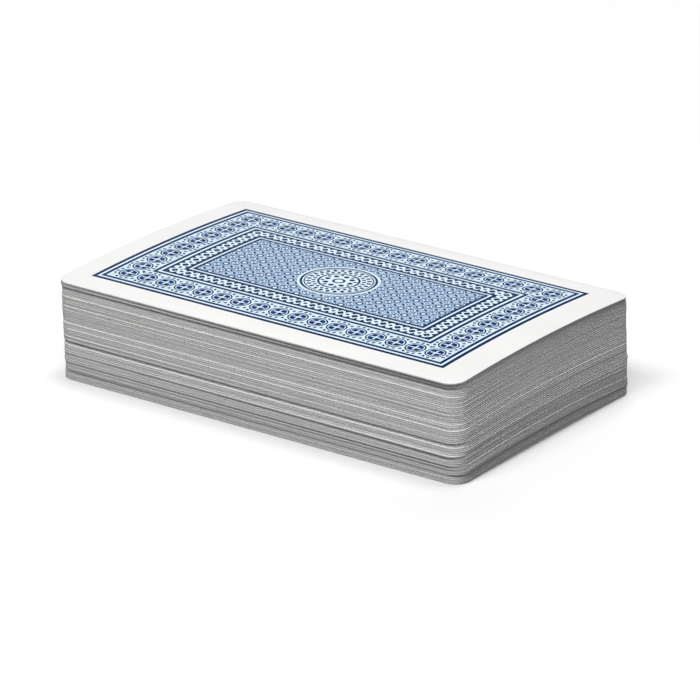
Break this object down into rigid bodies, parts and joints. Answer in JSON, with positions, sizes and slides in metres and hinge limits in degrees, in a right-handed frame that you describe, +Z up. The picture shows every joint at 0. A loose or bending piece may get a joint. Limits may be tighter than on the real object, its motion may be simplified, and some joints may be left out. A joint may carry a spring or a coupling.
{
  "type": "playing card deck",
  "caption": "Deck of playing cards lying face down, slightly bowed across the width, with a traditional blue back; each card slides lengthwise out of the stack.",
  "frame": {"origin": "on the table, under the middle of the bottom card", "axes": "+X along the cards' length, +Y across their width, +Z up, from the faces to the backs"},
  "size_m": [0.0894, 0.0581, 0.0195],
  "materials": {
    "card_stock": "coated, satin"
  },
  "bodies": {
    "ace_of_hearts": {"ace_of_hearts": "card_stock"},
    "two_of_hearts": {"two_of_hearts": "card_stock"},
    "three_of_hearts": {"three_of_hearts": "card_stock"},
    "four_of_hearts": {"four_of_hearts": "card_stock"},
    "five_of_hearts": {"five_of_hearts": "card_stock"},
    "six_of_hearts": {"six_of_hearts": "card_stock"},
    "seven_of_hearts": {"seven_of_hearts": "card_stock"},
    "eight_of_hearts": {"eight_of_hearts": "card_stock"},
    "nine_of_hearts": {"nine_of_hearts": "card_stock"},
    "ten_of_hearts": {"ten_of_hearts": "card_stock"},
    "jack_of_hearts": {"jack_of_hearts": "card_stock"},
    "queen_of_hearts": {"queen_of_hearts": "card_stock"},
    "king_of_hearts": {"king_of_hearts": "card_stock"},
    "ace_of_clubs": {"ace_of_clubs": "card_stock"},
    "two_of_clubs": {"two_of_clubs": "card_stock"},
    "three_of_clubs": {"three_of_clubs": "card_stock"},
    "four_of_clubs": {"four_of_clubs": "card_stock"},
    "five_of_clubs": {"five_of_clubs": "card_stock"},
    "six_of_clubs": {"six_of_clubs": "card_stock"},
    "seven_of_clubs": {"seven_of_clubs": "card_stock"},
    "eight_of_clubs": {"eight_of_clubs": "card_stock"},
    "nine_of_clubs": {"nine_of_clubs": "card_stock"},
    "ten_of_clubs": {"ten_of_clubs": "card_stock"},
    "jack_of_clubs": {"jack_of_clubs": "card_stock"},
    "queen_of_clubs": {"queen_of_clubs": "card_stock"},
    "king_of_clubs": {"king_of_clubs": "card_stock"},
    "king_of_diamonds": {"king_of_diamonds": "card_stock"},
    "queen_of_diamonds": {"queen_of_diamonds": "card_stock"},
    "jack_of_diamonds": {"jack_of_diamonds": "card_stock"},
    "ten_of_diamonds": {"ten_of_diamonds": "card_stock"},
    "nine_of_diamonds": {"nine_of_diamonds": "card_stock"},
    "eight_of_diamonds": {"eight_of_diamonds": "card_stock"},
    "seven_of_diamonds": {"seven_of_diamonds": "card_stock"},
    "six_of_diamonds": {"six_of_diamonds": "card_stock"},
    "five_of_diamonds": {"five_of_diamonds": "card_stock"},
    "four_of_diamonds": {"four_of_diamonds": "card_stock"},
    "three_of_diamonds": {"three_of_diamonds": "card_stock"},
    "two_of_diamonds": {"two_of_diamonds": "card_stock"},
    "ace_of_diamonds": {"ace_of_diamonds": "card_stock"},
    "king_of_spades": {"king_of_spades": "card_stock"},
    "queen_of_spades": {"queen_of_spades": "card_stock"},
    "jack_of_spades": {"jack_of_spades": "card_stock"},
    "ten_of_spades": {"ten_of_spades": "card_stock"},
    "nine_of_spades": {"nine_of_spades": "card_stock"},
    "eight_of_spades": {"eight_of_spades": "card_stock"},
    "seven_of_spades": {"seven_of_spades": "card_stock"},
    "six_of_spades": {"six_of_spades": "card_stock"},
    "five_of_spades": {"five_of_spades": "card_stock"},
    "four_of_spades": {"four_of_spades": "card_stock"},
    "three_of_spades": {"three_of_spades": "card_stock"},
    "two_of_spades": {"two_of_spades": "card_stock"},
    "ace_of_spades": {"ace_of_spades": "card_stock"},
    "black_joker": {"black_joker": "card_stock"},
    "red_joker": {"red_joker": "card_stock"}
  },
  "joints": [
    {"name": "two_of_hearts_slide", "type": "slide", "parent": "ace_of_hearts", "child": "two_of_hearts", "axis": [1, 0, 0], "range_m": [-0.09, 0.09]},
    {"name": "three_of_hearts_slide", "type": "slide", "parent": "ace_of_hearts", "child": "three_of_hearts", "axis": [1, 0, 0], "range_m": [-0.09, 0.09]},
    {"name": "four_of_hearts_slide", "type": "slide", "parent": "ace_of_hearts", "child": "four_of_hearts", "axis": [1, 0, 0], "range_m": [-0.09, 0.09]},
    {"name": "five_of_hearts_slide", "type": "slide", "parent": "ace_of_hearts", "child": "five_of_hearts", "axis": [1, 0, 0], "range_m": [-0.09, 0.09]},
    {"name": "six_of_hearts_slide", "type": "slide", "parent": "ace_of_hearts", "child": "six_of_hearts", "axis": [1, 0, 0], "range_m": [-0.09, 0.09]},
    {"name": "seven_of_hearts_slide", "type": "slide", "parent": "ace_of_hearts", "child": "seven_of_hearts", "axis": [1, 0, 0], "range_m": [-0.09, 0.09]},
    {"name": "eight_of_hearts_slide", "type": "slide", "parent": "ace_of_hearts", "child": "eight_of_hearts", "axis": [1, 0, 0], "range_m": [-0.09, 0.09]},
    {"name": "nine_of_hearts_slide", "type": "slide", "parent": "ace_of_hearts", "child": "nine_of_hearts", "axis": [1, 0, 0], "range_m": [-0.09, 0.09]},
    {"name": "ten_of_hearts_slide", "type": "slide", "parent": "ace_of_hearts", "child": "ten_of_hearts", "axis": [1, 0, 0], "range_m": [-0.09, 0.09]},
    {"name": "jack_of_hearts_slide", "type": "slide", "parent": "ace_of_hearts", "child": "jack_of_hearts", "axis": [1, 0, 0], "range_m": [-0.09, 0.09]},
    {"name": "queen_of_hearts_slide", "type": "slide", "parent": "ace_of_hearts", "child": "queen_of_hearts", "axis": [1, 0, 0], "range_m": [-0.09, 0.09]},
    {"name": "king_of_hearts_slide", "type": "slide", "parent": "ace_of_hearts", "child": "king_of_hearts", "axis": [1, 0, 0], "range_m": [-0.09, 0.09]},
    {"name": "ace_of_clubs_slide", "type": "slide", "parent": "ace_of_hearts", "child": "ace_of_clubs", "axis": [1, 0, 0], "range_m": [-0.09, 0.09]},
    {"name": "two_of_clubs_slide", "type": "slide", "parent": "ace_of_hearts", "child": "two_of_clubs", "axis": [1, 0, 0], "range_m": [-0.09, 0.09]},
    {"name": "three_of_clubs_slide", "type": "slide", "parent": "ace_of_hearts", "child": "three_of_clubs", "axis": [1, 0, 0], "range_m": [-0.09, 0.09]},
    {"name": "four_of_clubs_slide", "type": "slide", "parent": "ace_of_hearts", "child": "four_of_clubs", "axis": [1, 0, 0], "range_m": [-0.09, 0.09]},
    {"name": "five_of_clubs_slide", "type": "slide", "parent": "ace_of_hearts", "child": "five_of_clubs", "axis": [1, 0, 0], "range_m": [-0.09, 0.09]},
    {"name": "six_of_clubs_slide", "type": "slide", "parent": "ace_of_hearts", "child": "six_of_clubs", "axis": [1, 0, 0], "range_m": [-0.09, 0.09]},
    {"name": "seven_of_clubs_slide", "type": "slide", "parent": "ace_of_hearts", "child": "seven_of_clubs", "axis": [1, 0, 0], "range_m": [-0.09, 0.09]},
    {"name": "eight_of_clubs_slide", "type": "slide", "parent": "ace_of_hearts", "child": "eight_of_clubs", "axis": [1, 0, 0], "range_m": [-0.09, 0.09]},
    {"name": "nine_of_clubs_slide", "type": "slide", "parent": "ace_of_hearts", "child": "nine_of_clubs", "axis": [1, 0, 0], "range_m": [-0.09, 0.09]},
    {"name": "ten_of_clubs_slide", "type": "slide", "parent": "ace_of_hearts", "child": "ten_of_clubs", "axis": [1, 0, 0], "range_m": [-0.09, 0.09]},
    {"name": "jack_of_clubs_slide", "type": "slide", "parent": "ace_of_hearts", "child": "jack_of_clubs", "axis": [1, 0, 0], "range_m": [-0.09, 0.09]},
    {"name": "queen_of_clubs_slide", "type": "slide", "parent": "ace_of_hearts", "child": "queen_of_clubs", "axis": [1, 0, 0], "range_m": [-0.09, 0.09]},
    {"name": "king_of_clubs_slide", "type": "slide", "parent": "ace_of_hearts", "child": "king_of_clubs", "axis": [1, 0, 0], "range_m": [-0.09, 0.09]},
    {"name": "king_of_diamonds_slide", "type": "slide", "parent": "ace_of_hearts", "child": "king_of_diamonds", "axis": [1, 0, 0], "range_m": [-0.09, 0.09]},
    {"name": "queen_of_diamonds_slide", "type": "slide", "parent": "ace_of_hearts", "child": "queen_of_diamonds", "axis": [1, 0, 0], "range_m": [-0.09, 0.09]},
    {"name": "jack_of_diamonds_slide", "type": "slide", "parent": "ace_of_hearts", "child": "jack_of_diamonds", "axis": [1, 0, 0], "range_m": [-0.09, 0.09]},
    {"name": "ten_of_diamonds_slide", "type": "slide", "parent": "ace_of_hearts", "child": "ten_of_diamonds", "axis": [1, 0, 0], "range_m": [-0.09, 0.09]},
    {"name": "nine_of_diamonds_slide", "type": "slide", "parent": "ace_of_hearts", "child": "nine_of_diamonds", "axis": [1, 0, 0], "range_m": [-0.09, 0.09]},
    {"name": "eight_of_diamonds_slide", "type": "slide", "parent": "ace_of_hearts", "child": "eight_of_diamonds", "axis": [1, 0, 0], "range_m": [-0.09, 0.09]},
    {"name": "seven_of_diamonds_slide", "type": "slide", "parent": "ace_of_hearts", "child": "seven_of_diamonds", "axis": [1, 0, 0], "range_m": [-0.09, 0.09]},
    {"name": "six_of_diamonds_slide", "type": "slide", "parent": "ace_of_hearts", "child": "six_of_diamonds", "axis": [1, 0, 0], "range_m": [-0.09, 0.09]},
    {"name": "five_of_diamonds_slide", "type": "slide", "parent": "ace_of_hearts", "child": "five_of_diamonds", "axis": [1, 0, 0], "range_m": [-0.09, 0.09]},
    {"name": "four_of_diamonds_slide", "type": "slide", "parent": "ace_of_hearts", "child": "four_of_diamonds", "axis": [1, 0, 0], "range_m": [-0.09, 0.09]},
    {"name": "three_of_diamonds_slide", "type": "slide", "parent": "ace_of_hearts", "child": "three_of_diamonds", "axis": [1, 0, 0], "range_m": [-0.09, 0.09]},
    {"name": "two_of_diamonds_slide", "type": "slide", "parent": "ace_of_hearts", "child": "two_of_diamonds", "axis": [1, 0, 0], "range_m": [-0.09, 0.09]},
    {"name": "ace_of_diamonds_slide", "type": "slide", "parent": "ace_of_hearts", "child": "ace_of_diamonds", "axis": [1, 0, 0], "range_m": [-0.09, 0.09]},
    {"name": "king_of_spades_slide", "type": "slide", "parent": "ace_of_hearts", "child": "king_of_spades", "axis": [1, 0, 0], "range_m": [-0.09, 0.09]},
    {"name": "queen_of_spades_slide", "type": "slide", "parent": "ace_of_hearts", "child": "queen_of_spades", "axis": [1, 0, 0], "range_m": [-0.09, 0.09]},
    {"name": "jack_of_spades_slide", "type": "slide", "parent": "ace_of_hearts", "child": "jack_of_spades", "axis": [1, 0, 0], "range_m": [-0.09, 0.09]},
    {"name": "ten_of_spades_slide", "type": "slide", "parent": "ace_of_hearts", "child": "ten_of_spades", "axis": [1, 0, 0], "range_m": [-0.09, 0.09]},
    {"name": "nine_of_spades_slide", "type": "slide", "parent": "ace_of_hearts", "child": "nine_of_spades", "axis": [1, 0, 0], "range_m": [-0.09, 0.09]},
    {"name": "eight_of_spades_slide", "type": "slide", "parent": "ace_of_hearts", "child": "eight_of_spades", "axis": [1, 0, 0], "range_m": [-0.09, 0.09]},
    {"name": "seven_of_spades_slide", "type": "slide", "parent": "ace_of_hearts", "child": "seven_of_spades", "axis": [1, 0, 0], "range_m": [-0.09, 0.09]},
    {"name": "six_of_spades_slide", "type": "slide", "parent": "ace_of_hearts", "child": "six_of_spades", "axis": [1, 0, 0], "range_m": [-0.09, 0.09]},
    {"name": "five_of_spades_slide", "type": "slide", "parent": "ace_of_hearts", "child": "five_of_spades", "axis": [1, 0, 0], "range_m": [-0.09, 0.09]},
    {"name": "four_of_spades_slide", "type": "slide", "parent": "ace_of_hearts", "child": "four_of_spades", "axis": [1, 0, 0], "range_m": [-0.09, 0.09]},
    {"name": "three_of_spades_slide", "type": "slide", "parent": "ace_of_hearts", "child": "three_of_spades", "axis": [1, 0, 0], "range_m": [-0.09, 0.09]},
    {"name": "two_of_spades_slide", "type": "slide", "parent": "ace_of_hearts", "child": "two_of_spades", "axis": [1, 0, 0], "range_m": [-0.09, 0.09]},
    {"name": "ace_of_spades_slide", "type": "slide", "parent": "ace_of_hearts", "child": "ace_of_spades", "axis": [1, 0, 0], "range_m": [-0.09, 0.09]},
    {"name": "black_joker_slide", "type": "slide", "parent": "ace_of_hearts", "child": "black_joker", "axis": [1, 0, 0], "range_m": [-0.09, 0.09]},
    {"name": "red_joker_slide", "type": "slide", "parent": "ace_of_hearts", "child": "red_joker", "axis": [1, 0, 0], "range_m": [-0.09, 0.09]}
  ]
}
